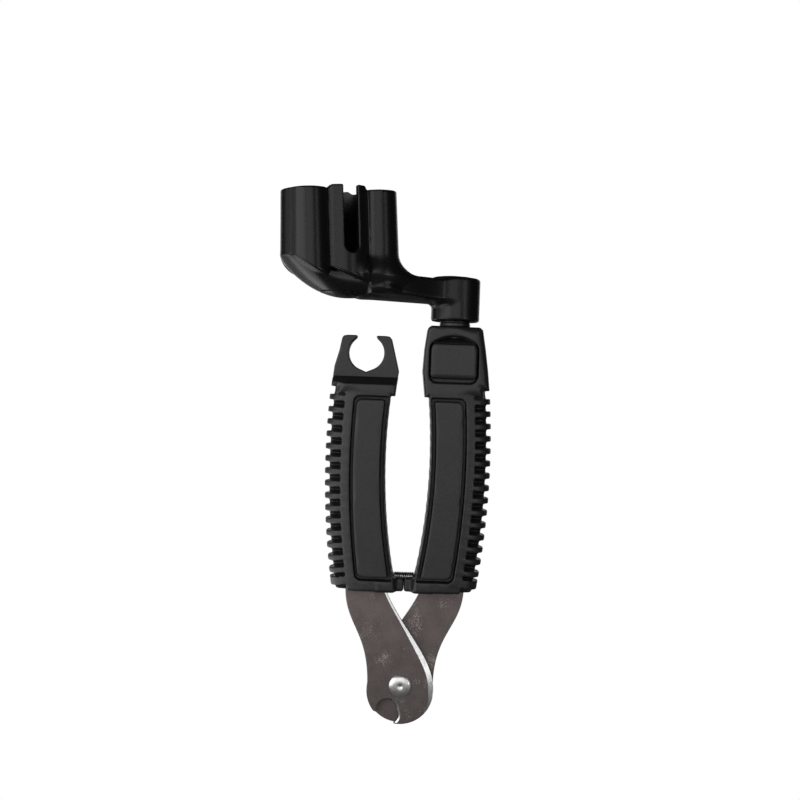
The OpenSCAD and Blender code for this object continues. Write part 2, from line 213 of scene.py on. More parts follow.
def polygon(x, y, points):
    """Signed distance to a closed polygon."""
    shape = np.broadcast_shapes(x.shape, y.shape)
    nearest = np.full(shape, np.inf)
    inside = np.zeros(shape, bool)
    for (ax, ay), (bx, by) in zip(points, points[1:] + points[:1]):
        ex, ey = bx - ax, by - ay
        t = np.clip(((x - ax) * ex + (y - ay) * ey) / (ex * ex + ey * ey), 0, 1)
        nearest = np.minimum(nearest, (x - ax - t * ex) ** 2 + (y - ay - t * ey) ** 2)
        if ay != by:
            inside ^= ((y < ay) != (y < by)) & (x < ax + (y - ay) * ex / ey)
    return np.where(inside, -1.0, 1.0) * np.sqrt(nearest)


def even(field, step):
    """The field divided by its slope, so that its values near the surface are distances."""
    slopes = np.gradient(field, step)
    return field / np.maximum(np.sqrt(sum(s * s for s in slopes)), 0.2)


# ---- pieces --------------------------------------------------------------------

def finish_piece(obj, material, body, nodes):
    """Gives a piece its material and body, and hides the CAD nodes that it stands for."""
    for m in material if isinstance(material, list) else [material]:
        obj.data.materials.append(m)
    if body:
        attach(obj, body)
    if nodes:
        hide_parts(*nodes)
    return obj


def new_object(name, vertices, faces):
    """An object from points in mm in the tool frame."""
    mesh = bpy.data.meshes.new(name)
    placed = np.asarray(vertices, float) * MM + np.array(ORIGIN)
    mesh.from_pydata(placed.tolist(), [], faces)
    mesh.validate()
    obj = bpy.data.objects.new(name, mesh)
    bpy.context.collection.objects.link(obj)
    return obj


def sample(volume, points):
    """The volume's values at points, in grid units, blended between its eight neighbours."""
    base = np.clip(np.floor(points).astype(int), 0, np.array(volume.shape) - 2)
    part = np.clip(points - base, 0, 1)
    total = np.zeros(len(points))
    for i in (0, 1):
        for j in (0, 1):
            for k in (0, 1):
                weight = np.ones(len(points))
                for axis, bit in enumerate((i, j, k)):
                    weight = weight * (part[:, axis] if bit else 1 - part[:, axis])
                total += weight * volume[base[:, 0] + i, base[:, 1] + j, base[:, 2] + k]
    return total


def skin(name, field, lattice, move=None, adapt=0.01):
    """A closed mesh on the field's surface, with the field's own slope as its shading normals.
    move is a matrix that takes the lattice's points to the tool frame; it may mirror them."""
    field = np.ascontiguousarray(field, dtype=np.float32)
    grid = openvdb.FloatGrid(100.0)
    grid.copyFromArray(field)
    points, triangles, quads = grid.convertToPolygons(isovalue=0.0, adaptivity=adapt)
    normals = np.stack([sample(slope, points) for slope in np.gradient(field)], 1)
    vertices = points * lattice.step + lattice.low
    move = np.array(move if move is not None else Matrix.Identity(4))
    vertices = vertices @ move[:3, :3].T + move[:3, 3]
    normals = normals @ move[:3, :3].T
    normals /= np.maximum(np.linalg.norm(normals, axis=1, keepdims=True), 1e-9)
    faces = quads.tolist() + triangles.tolist()
    if np.linalg.det(move[:3, :3]) < 0:
        faces = [face[::-1] for face in faces]
    obj = new_object(name, vertices, faces)
    obj.data.shade_smooth()
    obj.data.normals_split_custom_set_from_vertices(normals.tolist())
    return obj


def smooth_by_angle(obj, degrees=32):
    obj.data.shade_smooth()
    obj.data.set_sharp_from_angle(angle=math.radians(degrees))
    return obj


def lathe(name, profile, centre, axis, turns=96):
    """A turned piece: profile is a list of (radius, height) from the axis out and back to it."""
    axis = Vector(axis)
    side = axis.orthogonal().normalized()
    other = axis.cross(side)
    vertices, rings = [], []
    for radius, height in profile:
        if radius == 0:
            rings.append([len(vertices)] * turns)
            vertices.append(centre + axis * height)
            continue
        rings.append(list(range(len(vertices), len(vertices) + turns)))
        for i in range(turns):
            angle = 2 * math.pi * i / turns
            spoke = side * math.cos(angle) + other * math.sin(angle)
            vertices.append(centre + axis * height + spoke * radius)
    faces = []
    closed = profile[0][0] != 0
    pairs = list(zip(rings, rings[1:] + rings[:1])) if closed else list(zip(rings, rings[1:]))
    for low, high in pairs:
        for i in range(turns):
            j = (i + 1) % turns
            ring = [low[i], low[j], high[j], high[i]]
            faces.append([v for k, v in enumerate(ring) if v not in ring[:k]])
    return smooth_by_angle(new_object(name, vertices, faces))


def curve(a, b, c, d, steps):
    """Points on the cubic curve with control points a, b, c, d."""
    points = []
    for i in range(steps + 1):
        t = i / steps
        weights = ((1 - t) ** 3, 3 * t * (1 - t) ** 2, 3 * t * t * (1 - t), t ** 3)
        points.append(tuple(sum(w * p[k] for w, p in zip(weights, (a, b, c, d))) for k in (0, 1)))
    return points


def arc(cx, cy, r, start, end, steps):
    """Points on a circle, from angle start to end in degrees."""
    angles = [math.radians(start + (end - start) * i / steps) for i in range(steps + 1)]
    return [(cx + r * math.cos(a), cy + r * math.sin(a)) for a in angles]


def inset(outline, widths):
    """The outline moved inwards (to its left) by each point's width."""
    points = [Vector(p) for p in outline]
    moved = []
    for i, point in enumerate(points):
        before = (point - points[i - 1]).normalized()
        after = (points[(i + 1) % len(points)] - point).normalized()
        normal = Vector((-before.y - after.y, before.x + after.x))
        normal = normal.normalized() if normal.length > 1e-6 else Vector((-after.y, after.x))
        stretch = max(normal.dot(Vector((-after.y, after.x))), 0.5)
        moved.append(tuple(point + normal * (widths[i] / stretch)))
    return moved


# ---- materials -------------------------------------------------------------------

class Material:
    """A node material for a Principled shader, with textures in the object's own metres."""

    def __init__(self, name, **constants):
        self.material = bpy.data.materials.new(name)
        self.material.use_nodes = True
        self.nodes = self.material.node_tree.nodes
        self.links = self.material.node_tree.links
        self.shader = self.nodes["Principled BSDF"]
        for socket, value in constants.items():
            self.shader.inputs[socket.replace("_", " ")].default_value = value
        self.place = self.nodes.new("ShaderNodeTexCoord").outputs["Object"]
        self.height = None

    def stretched(self, scale):
        """The object's coordinates, scaled by axis."""
        node = self.nodes.new("ShaderNodeMapping")
        node.inputs["Scale"].default_value = scale
        self.links.new(self.place, node.inputs["Vector"])
        return node.outputs["Vector"]

    def noise(self, size, detail=3, rough=0.55, place=None):
        """Noise with features of about size mm."""
        node = self.nodes.new("ShaderNodeTexNoise")
        node.inputs["Scale"].default_value = 1 / (size * MM)
        node.inputs["Detail"].default_value = detail
        node.inputs["Roughness"].default_value = rough
        self.links.new(place or self.place, node.inputs["Vector"])
        return node.outputs["Fac"]

    def cells(self, size):
        """Distance to the nearest of points about size mm apart."""
        node = self.nodes.new("ShaderNodeTexVoronoi")
        node.inputs["Scale"].default_value = 1 / (size * MM)
        self.links.new(self.place, node.inputs["Vector"])
        return node.outputs["Distance"]

    def ramp(self, source, *stops):
        """Colours or grey values along a source from 0 to 1: stops are (position, value)."""
        node = self.nodes.new("ShaderNodeValToRGB")
        elements = node.color_ramp.elements
        while len(elements) < len(stops):
            elements.new(0.5)
        for element, (position, value) in zip(elements, stops):
            element.position = position
            element.color = (*value, 1) if isinstance(value, tuple) else (value, value, value, 1)
        self.links.new(source, node.inputs["Fac"])
        return node.outputs["Color"]

    def math(self, operation, a, b):
        """One operation on two values or sockets."""
        node = self.nodes.new("ShaderNodeMath")
        node.operation = operation
        for socket, value in zip(node.inputs, (a, b)):
            if isinstance(value, (int, float)):
                socket.default_value = value
            else:
                self.links.new(value, socket)
        return node.outputs[0]

    def mix(self, factor, a, b, blend="MIX"):
        """Mixes two colours by a factor."""
        node = self.nodes.new("ShaderNodeMix")
        node.data_type = "RGBA"
        node.blend_type = blend
        for socket, value in zip((node.inputs[0], node.inputs[6], node.inputs[7]), (factor, a, b)):
            if isinstance(value, (int, float)):
                socket.default_value = value
            elif isinstance(value, tuple):
                socket.default_value = (*value, 1)
            else:
                self.links.new(value, socket)
        return node.outputs[2]

    def raise_by(self, source, depth):
        """Adds a bump that is depth mm high."""
        node = self.nodes.new("ShaderNodeBump")
        node.inputs["Distance"].default_value = depth * MM
        self.links.new(source, node.inputs["Height"])
        if self.height is not None:
            self.links.new(self.height, node.inputs["Normal"])
        self.height = node.outputs["Normal"]
        self.links.new(self.height, self.shader.inputs["Normal"])

    def set(self, socket, source):
        """Drives one of the shader's inputs."""
        self.links.new(source, self.shader.inputs[socket])


def moulded_black(name, dark, light, roughness, grain, grain_height):
    """Moulded plastic with a fine eroded grain and faint cloudiness. The grain's size and height
    are in mm."""
    m = Material(name, Specular_IOR_Level=0.56)
    cloud = m.noise(9, detail=4)
    speck = m.noise(grain * 1.6, detail=2, rough=0.7)
    cloud_tone = m.ramp(cloud, (0.35, dark), (0.65, light))
    speck_tone = m.ramp(speck, (0.3, dark), (0.7, light))
    m.set("Base Color", m.mix(0.35, cloud_tone, speck_tone))
    low, high = roughness
    wear = m.math("ADD", m.math("MULTIPLY", speck, 0.6), m.math("MULTIPLY", cloud, 0.4))
    m.set("Roughness", m.ramp(wear, (0.3, low), (0.7, high)))
    m.raise_by(m.noise(grain, detail=3, rough=0.65), grain_height)
    m.raise_by(m.cells(grain * 2.2), grain_height * 0.6)
    return m.material


def glossy_black(name):
    """Polished moulding: near-black, with faint flow marks and fine dust."""
    m = Material(name, Specular_IOR_Level=0.36)
    flow = m.noise(1.0, detail=3, place=m.stretched((30, 30, 6)))
    dust = m.noise(0.5, detail=2, rough=0.8)
    flow_tone = m.ramp(flow, (0.3, (0.003, 0.003, 0.0035)), (0.7, (0.006, 0.006, 0.0065)))
    dust_tone = m.ramp(dust, (0.35, (0.003, 0.003, 0.003)), (0.72, (0.010, 0.010, 0.010)))
    m.set("Base Color", m.mix(0.5, flow_tone, dust_tone))
    m.set("Roughness", m.ramp(m.math("ADD", m.math("MULTIPLY", flow, 0.5), m.math("MULTIPLY", dust, 0.5)),
                              (0.3, 0.24), (0.7, 0.34)))
    m.raise_by(m.noise(7, detail=2), 0.05)
    m.raise_by(m.noise(0.35, detail=2), 0.004)
    return m.material


def tumbled_steel(name):
    """Brown-grey tumbled steel with pale specks, dark pits and long scratches."""
    m = Material(name, Metallic=1.0)
    cloud = m.noise(6, detail=5)
    grain = m.noise(0.5, detail=3, rough=0.7)
    base = m.mix(0.5, m.ramp(cloud, (0.3, (0.16, 0.13, 0.125)), (0.7, (0.25, 0.215, 0.205))),
                 m.ramp(grain, (0.3, (0.13, 0.11, 0.105)), (0.7, (0.29, 0.25, 0.24))))
    specks = m.ramp(m.math("MULTIPLY", m.noise(0.5, detail=4, rough=0.75), m.noise(7, detail=2)),
                    (0.33, 0.0), (0.40, 0.7))
    pits = m.ramp(m.cells(1.5), (0.04, 1.0), (0.12, 0.0))
    scratch = m.ramp(m.noise(1.0, detail=2, place=m.stretched((600, 600, 30))), (0.66, 0.0), (0.74, 0.4))
    tone = m.mix(specks, base, (0.62, 0.58, 0.56))
    tone = m.mix(scratch, tone, (0.45, 0.42, 0.41))
    m.set("Base Color", m.mix(m.math("MULTIPLY", pits, 0.5), tone, (0.08, 0.065, 0.06)))
    m.set("Roughness", m.ramp(grain, (0.3, 0.46), (0.7, 0.62)))
    m.raise_by(grain, 0.02)
    m.raise_by(pits, -0.03)
    return m.material


def ground_steel(name, stretch):
    """A ground edge: bright, with fine lines along the grind."""
    bright = 0.86
    m = Material(name, Metallic=1.0)
    lines = m.noise(1.0, detail=3, place=m.stretched(stretch))
    m.set("Base Color", m.ramp(lines, (0.3, bright * 0.86), (0.7, bright)))
    m.set("Roughness", m.ramp(lines, (0.3, 0.26), (0.7, 0.40)))
    m.raise_by(lines, 0.006)
    return m.material


def plated_steel(name, tones, roughness):
    """Dull nickel plate with slight unevenness."""
    m = Material(name, Metallic=1.0)
    cloud = m.noise(1.2, detail=3)
    m.set("Base Color", m.ramp(cloud, (0.3, tones[0]), (0.7, tones[1])))
    low, high = roughness
    m.set("Roughness", m.ramp(m.noise(0.4, detail=3), (0.3, low), (0.7, high)))
    m.raise_by(m.noise(0.6, detail=2), 0.01)
    return m.material


HANDLE = moulded_black("handle_moulding", (0.009, 0.009, 0.0095), (0.016, 0.016, 0.0165),
                       (0.36, 0.50), 0.22, 0.024)
PANEL = moulded_black("panel_grain", (0.011, 0.011, 0.0115), (0.021, 0.021, 0.0215),
                      (0.40, 0.54), 0.34, 0.05)
BUSH = moulded_black("bush_moulding", (0.010, 0.010, 0.010), (0.018, 0.018, 0.018),
                     (0.30, 0.42), 0.2, 0.01)
HEAD = glossy_black("head_gloss")
BLADE = tumbled_steel("blade_steel")
EDGE = ground_steel("ground_edge", (700, 700, 60))
PLATED = plated_steel("nickel_plate", ((0.50, 0.49, 0.47), (0.78, 0.77, 0.75)), (0.20, 0.32))
RIVET_STEEL = plated_steel("rivet_steel", ((0.80, 0.79, 0.77), (0.95, 0.94, 0.92)), (0.30, 0.40))


# ---- handles ----------------------------------------------------------------------

# A right front shell's room, to 1 mm past it. The claw reaches past y = 0.
GRIP = Lattice((-2.6, -HALF_T - 1.0, HANDLE_Z0 - 1.0),
               (TIP_X + 1.0, CLAW_HALF_T + 1.0, HANDLE_Z1 + 1.0), STEP)
TIPS = disc(GRIP.x, GRIP.z, TIP_X - TIP_ARC, BELLY_Z, TIP_ARC)
GAP = -disc(GRIP.x, GRIP.z, GAP_X - GAP_ARC, BELLY_Z, GAP_ARC)
FACE = -GRIP.y - HALF_T


def grip_body():
    """The ribbed length of a handle: rounded on its outer side, with ribs that reach onto its face.
    The gaps between the ribs are plain at the tips, and deepen to a V on the face."""
    slope = math.radians(18)
    bevel = FACE * math.cos(slope) + (TIPS + STRIP) * math.sin(slope)
    front = both(FACE, bevel, 1)
    body = both(front, TIPS, 4.6)
    body = both(body, GAP, 0.9)
    body = both(body, HANDLE_Z0 - GRIP.z, 0.8)
    body = both(body, GRIP.z - SHOULDER_Z, 0.4)
    along = TIP_ARC * np.arctan2(GRIP.z - BELLY_Z, GRIP.x - TIP_X + TIP_ARC)
    first = TIP_ARC * math.asin((RIB_Z - BELLY_Z) / TIP_ARC)
    number = np.clip(np.round((first - along) / RIB_PITCH), 0, RIB_COUNT - 1)
    slab = np.abs(along - first + number * RIB_PITCH) - RIB_W / 2
    # The lowest rib is wider on its upper side.
    wider_from = HANDLE_Z0 + 2.8
    slab = np.where(number == RIB_COUNT - 1, np.minimum(slab, wider_from - GRIP.z), slab)
    ribs = both(body, slab, 0.4)
    depth = 0.6 + 2.9 * np.clip(2 * slab / (RIB_PITCH - RIB_W), 0, 1)
    floor = np.maximum(body, both(front + depth, TIPS + RIB_H, 1.2))
    core = either(floor, both(body, TIPS + RIB_REACH, 0.5), 0.3)
    return either(core, ribs, 0.2)


def lug():
    """The lug at the inner lower corner, whose front steps back and which almost meets its twin."""
    edge_r = 0.9
    low = both(0.3 * LUG_GAP - GRIP.x, HANDLE_Z0 - GRIP.z, edge_r)
    rod = both(both(low, GRIP.z - HANDLE_Z0 - LUG_H, edge_r), GRIP.x - 9, 0)
    step = 2.4 * smoothstep((4.2 - GRIP.x) / 2.4)
    return both(rod, FACE + step, edge_r)


def neck(points, top):
    """A handle's neck above its ribs, with its outer edge rounder than its inner one."""
    outline = both(polygon(GRIP.x, GRIP.z, points), GRIP.z - top, 0.8)
    edge_r = 1.3 + 1.9 * smoothstep((GRIP.x - 13) / 8)
    return both(outline, FACE, edge_r)


def inlay_outline(grow):
    """An inlay's outline on a handle's face, grown by grow."""
    top = both(TIPS + INLAY_OUT - grow, GRIP.z - INLAY_Z1 - grow, INLAY_CORNER)
    both_ends = both(top, INLAY_Z0 - grow - GRIP.z, INLAY_CORNER)
    return both(both_ends, GAP + INLAY_IN - grow * 1.1, 0.7)


def groove_ring():
    """The gap round an inlay, deeper than the seat that the inlay stands on."""
    return np.maximum(inlay_outline(GROOVE), -inlay_outline(-0.05))


def window_outline(inside):
    """The window over the shaft's clip, smaller by inside."""
    x0, z0, x1, z1 = WINDOW
    x, z = GRIP.x, GRIP.z
    sides = np.abs(x - (x0 + x1) / 2) - (x1 - x0) / 2 + inside
    arch = disc(x, z, (x0 + x1) / 2, z1 - WINDOW_ARCH, WINDOW_ARCH - inside)
    return both(both(sides, arch, 1.2), z0 + inside - z, 2.6)


def window_floor():
    """Depth of the window's floor, which slopes in above the pad."""
    above = GRIP.z - PAD_Z1
    return np.where(above > 0, HALF_T - 1.2 - 1.3 * above, WINDOW_Y)


def spring_trench():
    """Room in a lug for the spring and its end loop."""
    return np.maximum(np.hypot(GRIP.y, GRIP.z - SPRING_Z) - SPRING_R - 0.4, GRIP.x - 6.6)


def claw():
    """The bridge-pin claw, as a thin plate about y = 0."""
    cx, cz = CLAW_AT
    x, z = GRIP.x, GRIP.z
    hole = disc(x, z, cx, cz, CLAW_R)
    foot_z = CLAW_R / CLAW_VEE
    foot_x = math.sqrt(CLAW_R ** 2 - foot_z ** 2)
    vee = [(cx, cz), (cx - foot_x, cz - foot_z), (cx, cz - CLAW_R * CLAW_VEE), (cx + foot_x, cz - foot_z)]
    hole = np.minimum(hole, polygon(x, z, vee))
    mouth = np.maximum(np.abs(x - cx) - CLAW_MOUTH / 2, cz - z)
    outline = both(polygon(x, z, CLAW), z - CLAW_Z1, 0.9)
    outline = less(less(outline, hole, 0.3), mouth, 0.6)
    return both(outline, np.abs(GRIP.y) - CLAW_HALF_T, 0.45)


def shell_field(side, back):
    """Field of one handle shell, drawn as a right front shell: its flat seam is at y = 0."""
    body = either(grip_body(), lug(), 0.8)
    if side == "right":
        body = either(body, neck(NECK, HANDLE_Z1), 0.25)
    elif back:
        body = either(body, neck(CLAW_NECK, CLAW_STEP_Z + 2), 0.25)
    else:
        # The front shell's top is a ramp that runs up and back to the claw.
        rise = math.atan2(2.5, HALF_T - CLAW_HALF_T)
        ramp = (GRIP.z - CLAW_STEP_Z + 1.0) * math.cos(rise) - (GRIP.y + HALF_T) * math.sin(rise)
        body = either(body, both(neck(CLAW_NECK, CLAW_STEP_Z + 2), ramp, 0.3), 0.25)
    body = less(body, np.maximum(inlay_outline(GROOVE), GRIP.y + FLOOR_Y), 0.3)
    body = less(body, np.maximum(groove_ring(), GRIP.y + GROOVE_Y), 0)
    if side == "right" and not back:
        body = less(body, np.maximum(window_outline(0), GRIP.y + window_floor()), 0.5)
    body = less(body, spring_trench(), 0.2)
    return both(body, GRIP.y, 0.18)


def handle_move(side, back):
    """Takes the lattice of a right front shell to where this one is."""
    return Matrix.Diagonal((SIDES[side], -1 if back else 1, 1, 1))


def make_shell(side, back):
    """One shell of a handle. The left back one has the claw in one piece with it."""
    name = f"{side}_{'back' if back else 'front'}_shell"
    field = shell_field(side, back)
    if side == "left" and back:
        field = either(field, claw(), 0.4)
    obj = skin(name + "_moulding", field, GRIP, handle_move(side, back))
    return finish_piece(obj, HANDLE, f"{side}_handle", [name])


def make_inlay(side, back):
    """One textured panel in a handle's face."""
    name = f"{side}_{'back' if back else 'front'}_inlay"
    panel = both(inlay_outline(0), FACE + 0.02, 0.45)
    field = both(panel, GRIP.y + FLOOR_Y, 0.1)
    obj = skin(name + "_panel", field, GRIP, handle_move(side, back))
    return finish_piece(obj, PANEL, f"{side}_handle", [name])


def make_cover():
    """The snap-in cover: a raised pad with a gap round it, on a base at the window's floor."""
    base = both(both(window_outline(0.15), -GRIP.y - WINDOW_Y - 0.6, 0.2), GRIP.z - PAD_Z1, 0.2)
    pad = both(window_outline(0.45), -GRIP.y - COVER_FACE_Y, 0.6)
    pad = both(pad, GRIP.z - PAD_Z1, 0.35)
    pad = both(pad, PAD_Z0 - GRIP.z, 1.2)
    field = both(either(base, pad, 0.2), GRIP.y + WINDOW_Y, 0.1)
    obj = skin("shaft_cover_pad", field, GRIP)
    return finish_piece(obj, PANEL, "right_handle", ["shaft_cover"])


for side in SIDES:
    for back in (False, True):
        make_shell(side, back)
        make_inlay(side, back)
make_cover()


# ---- crank head ---------------------------------------------------------------------

REACH = (PLUG - SHAFT).xy.length
ALONG = (PLUG - SHAFT).xy.normalized()
HUB_AT = Vector((SHAFT.x, SHAFT.y, 0))
TO_CRANK = Matrix((
    (ALONG.x, -ALONG.y, 0, HUB_AT.x),
    (ALONG.y, ALONG.x, 0, HUB_AT.y),
    (0, 0, 1, 0),
    (0, 0, 0, 1),
))
CRANK = Lattice((-HUB_R - 1, -CUP_W - 1.2, HUB_Z0 - 1), (REACH + CUP_L + 2, CUP_W + 1.2, RIM_Z + 1), STEP)
OUT_X = CRANK.x - REACH

# the cup's own frame, whose axis leans away from the shaft
lean = math.radians(CUP_LEAN)
CUP_X = OUT_X * math.cos(lean) - (CRANK.z - LEAN_Z) * math.sin(lean)
CUP_Z = LEAN_Z + OUT_X * math.sin(lean) + (CRANK.z - LEAN_Z) * math.cos(lean)


def lobes(wall):
    """The middle, corner and end lobes of the cup's plan, smaller by wall. The middle lobes stop,
    and the end ones start, at set distances from the cup's middle."""
    mid_r, corner_r, end_r = 9.2, 5.95, 9.75
    mid_end, end_start = 8, 13.4
    corner_x, corner_y = CUP_L - 7.25, CUP_W - 0.1 - corner_r
    ax, ay = np.abs(CUP_X), np.abs(CRANK.y)
    grow = CUP_DRAFT * (RIM_MID_Z - CUP_Z) - wall
    mid = np.maximum(disc(ax, ay, 0, CUP_W - mid_r, mid_r + grow), ax - mid_end)
    corner = disc(ax, ay, corner_x, corner_y, corner_r + grow)
    end = np.maximum(disc(ax, ay, CUP_L - end_r, 0, end_r + grow), end_start - ax)
    return mid, corner, end


def join(parts):
    """The three kinds of lobe together, with a fine fillet in their creases."""
    crease_r = 0.15
    mid, corner, end = parts
    return either(either(mid, corner, crease_r), end, crease_r)


def keel(x):
    """Height of the head's underside along its middle: level under the arm, rising to the far end."""
    rise, start, length = 10.4, -3, 22
    return KEEL_Z + rise * np.clip((x - start) / length, 0, 1) ** 2


def side_height(x):
    """Height at which the foot's side starts to curve in."""
    return 133.6 + 5.4 * np.clip((x - 4) / 15, 0, 1) ** 2 - 1.2 * smoothstep((-x - 2) / 12)


def foot_skin():
    """The smooth boat-shaped foot under the cup, with its sides carried straight up."""
    x, y, z = OUT_X, CRANK.y, CRANK.z
    side_z = side_height(x)
    half_l, half_w = 18.75, 8.6
    plan_power, section_power = 3, 2.3
    plan = ((np.abs(x) / half_l) ** plan_power + (np.abs(y) / half_w) ** plan_power) ** (1 / plan_power)
    drop = np.maximum(side_z - z, 0) / (side_z - keel(x))
    boat = ((plan ** section_power + drop ** section_power) ** (1 / section_power) - 1) * 8
    return even(boat, CRANK.step)


FOOT_SKIN = foot_skin()


def hull():
    """The foot, closed on top inside the lobes."""
    return both(FOOT_SKIN, CRANK.z - side_height(OUT_X) - 0.6, 0.5)


def flutes():
    """The lobed wall of the cup. Each lobe ends at its own height above the foot."""
    x, z = OUT_X, CRANK.z
    mid, corner, end = lobes(0)
    far = x > 0
    mid_foot = 133.3 + 0.3 * np.clip(x, -6, 6)
    corner_foot = np.where(far, 132.7 + 4.6 * np.clip((x - 7) / 10, 0, 1) ** 2, 128.6)
    end_foot = np.where(far, 138.2, 132)
    mid = both(mid, mid_foot - z, 0.5)
    corner = both(corner, corner_foot - z, np.where(far, 1.0, 1.6))
    rim = RIM_MID_Z - RIM_STEP * smoothstep((np.abs(CUP_X) - 5.4) / 1.4)
    end = both(end, end_foot - z, 0.4)
    return both(join((mid, corner, end)), CUP_Z - rim, 0.45)


def arm():
    """The arm, whose underside is bevelled into a keel."""
    u, y, z = CRANK.x, CRANK.y, CRANK.z
    half_w = 6.3 + 2.2 * smoothstep((u - 8) / 18)
    slab = np.maximum(np.abs(y) - half_w, u - REACH + 8)
    slab = np.maximum(slab, -u)
    keel_slope = 0.3
    bevel = (np.abs(y) * keel_slope + (KEEL_Z - z) - 0.5) / math.hypot(1, keel_slope)
    bar = both(slab, z - ARM_Z1, 0.9)
    bar = both(bar, KEEL_Z - z, 0.8)
    return both(bar, bevel, 0.8)


def hub():
    """The post on the shaft, rounded at its edges."""
    post = both(np.hypot(CRANK.x, CRANK.y) - HUB_R, CRANK.z - HUB_Z1, 1.1)
    return both(post, HUB_Z0 - CRANK.z, 0.8)


def head_field():
    """Field of the whole moulding: cup, foot, arm and hub, less the cup's room and slot and
    the plug's recess."""
    z = CRANK.z
    bar_top = ARM_Z1 + np.where(CRANK.x < HUB_R + 0.4, 3, 0)
    bar = both(either(arm(), hub(), 2.2), z - bar_top, 0)
    arm_fillet = 1.2 + 5.3 * smoothstep((z - 130) / 4.5)
    body = either(either(flutes(), hull(), 0.35), bar, arm_fillet)
    cavity = both(join(lobes(CUP_WALL)), RIM_MID_Z - CUP_DEPTH - CUP_Z, 1.2)
    cavity = both(cavity, FOOT_SKIN + 2.2 - np.maximum(z - 138, 0), 0.8)
    body = less(body, cavity, 0.45)
    slot_foot = RIM_MID_Z - SLOT_D + SLOT_W / 2
    slot = np.hypot(CUP_X, np.minimum(CUP_Z - slot_foot, 0)) - SLOT_W / 2
    body = less(body, np.maximum(slot, -CRANK.y), 0.5)
    recess = np.maximum(np.hypot(OUT_X, CRANK.y) - PLUG_R - 0.28, z - PLUG_Z1)
    return less(body, recess, 0.15)


def make_head():
    """The head's moulding, and the plug in its underside, which follows the foot's surface."""
    field = head_field()
    obj = skin("winder_head_moulding", field, CRANK, TO_CRANK)
    finish_piece(obj, HEAD, "winder", ["winder_head"])
    plug = both(hull(), np.hypot(OUT_X, CRANK.y) - PLUG_R, 0.3)
    plug = both(plug, CRANK.z - PLUG_Z1, 0.1)
    obj = skin("head_plug_disc", plug, CRANK, TO_CRANK)
    finish_piece(obj, HEAD, "winder", ["head_plug"])


make_head()


# ---- blades ----------------------------------------------------------------------------

def blade_outline(shoulder):
    """The front blade's outline, anticlockwise from the tang's top, and its bevel's width at each
    point. Its outer edge is shoulder further out at the top. The bevel is widest low on the ground
    right edge, narrower on the notch's right side, and elsewhere only takes off the burr."""
    tang_z = 60
    burr, hooked, ground = 0.28, 0.55, 1.6
    left = curve((-19.2 - shoulder, 31), (-18.6 - 0.8 * shoulder, 19.5), (-10.9, 17), (-10.9, 0), 32)
    foot_left = arc(0, -1.6, 11.1, 167, 218.5, 16)
    notch = arc(-4.1, -8, 3.5, 197, 0, 40)
    jaw = curve((-0.6, -8), (0.4, -10), (-0.3, -11.4), (-1.75, -12.55), 12)[1:]
    foot_right = arc(0, -1.6, 11.1, 261.5, 350, 40)
    right = curve((10.9, 0), (10.6, 9.4), (-1.2, 20.5), (-5.6, 31), 40)
    outline = [(-11.2, tang_z), (-17.2, tang_z), (-18.8, 42)] + left + foot_left + notch + jaw
    widths = [burr] * len(outline)
    for i in range(len(jaw) + 14):
        widths[len(outline) - 1 - i] = hooked
    for x, z in foot_right:
        widths.append(0.25 + 1.35 * float(smoothstep((z + 10.5) / 9)) if x > 0 else 0.25)
    outline += foot_right
    for x, z in right:
        widths.append(ground - 1.0 * float(smoothstep((z - 8) / 17)))
    outline += right + [(-8.4, 42)]
    return outline, widths + [burr]


def ring_faces(a, b, count):
    """Quads between two rings of points that start at a and b."""
    return [[a + i, a + (i + 1) % count, b + (i + 1) % count, b + i] for i in range(count)]


def make_blade(name, body, flip):
    """A stamped blade. flip turns the front blade's shape over into the back one."""
    outline, widths = blade_outline(0.9 if flip else 0)
    n = len(outline)
    hole_r = 2.0
    turns = 64
    outer, inner = -BLADE_Y1, -BLADE_Y0
    face = inset(outline, widths)
    hole = arc(0, 0, hole_r + 0.15, 0, -360, turns)[:-1]
    small_hole = arc(0, 0, hole_r, 0, -360, turns)[:-1]
    vertices = [(x, outer, z) for x, z in face]
    vertices += [(x, outer + min(0.47 * w, 0.62), z) for (x, z), w in zip(outline, widths)]
    vertices += [(x, inner - 0.1, z) for x, z in outline]
    vertices += [(x, inner, z) for x, z in inset(outline, [0.1] * n)]
    first_hole = len(vertices)
    for ring, y in ((hole, outer), (small_hole, outer + 0.15), (small_hole, inner)):
        vertices += [(x, y, z) for x, z in ring]
    faces = []
    for k in range(3):
        faces += ring_faces(k * n, (k + 1) * n, n)
    for k in range(2):
        faces += ring_faces(first_hole + k * turns, first_hole + (k + 1) * turns, turns)
    for start, ring_start in ((0, first_hole), (3 * n, first_hole + 2 * turns)):
        edge = list(range(start, start + n))
        rim = list(range(ring_start, ring_start + turns))
        loops = [[Vector((vertices[i][0], vertices[i][2], 0)) for i in ring] for ring in (edge, rim)]
        faces += [[(edge + rim)[i] for i in triangle] for triangle in tessellate_polygon(loops)]
    obj = new_object(name + "_stamping", vertices, faces)
    mesh = obj.data
    if flip:
        about = Matrix.Translation(ORIGIN) @ Matrix.Diagonal((-1, -1, 1, 1)) @ Matrix.Translation(-ORIGIN)
        mesh.transform(about)
    make_normals_point_out(mesh)
    smooth_by_angle(obj, 20)
    finish_piece(obj, [BLADE, EDGE], body, [name])
    for i in range(n):
        if widths[i] > 0.35:
            mesh.polygons[i].material_index = 1


def make_normals_point_out(mesh):
    """Turns each face of a closed mesh outwards."""
    work = bmesh.new()
    work.from_mesh(mesh)
    bmesh.ops.recalc_face_normals(work, faces=work.faces)
    work.to_mesh(mesh)
    work.free()


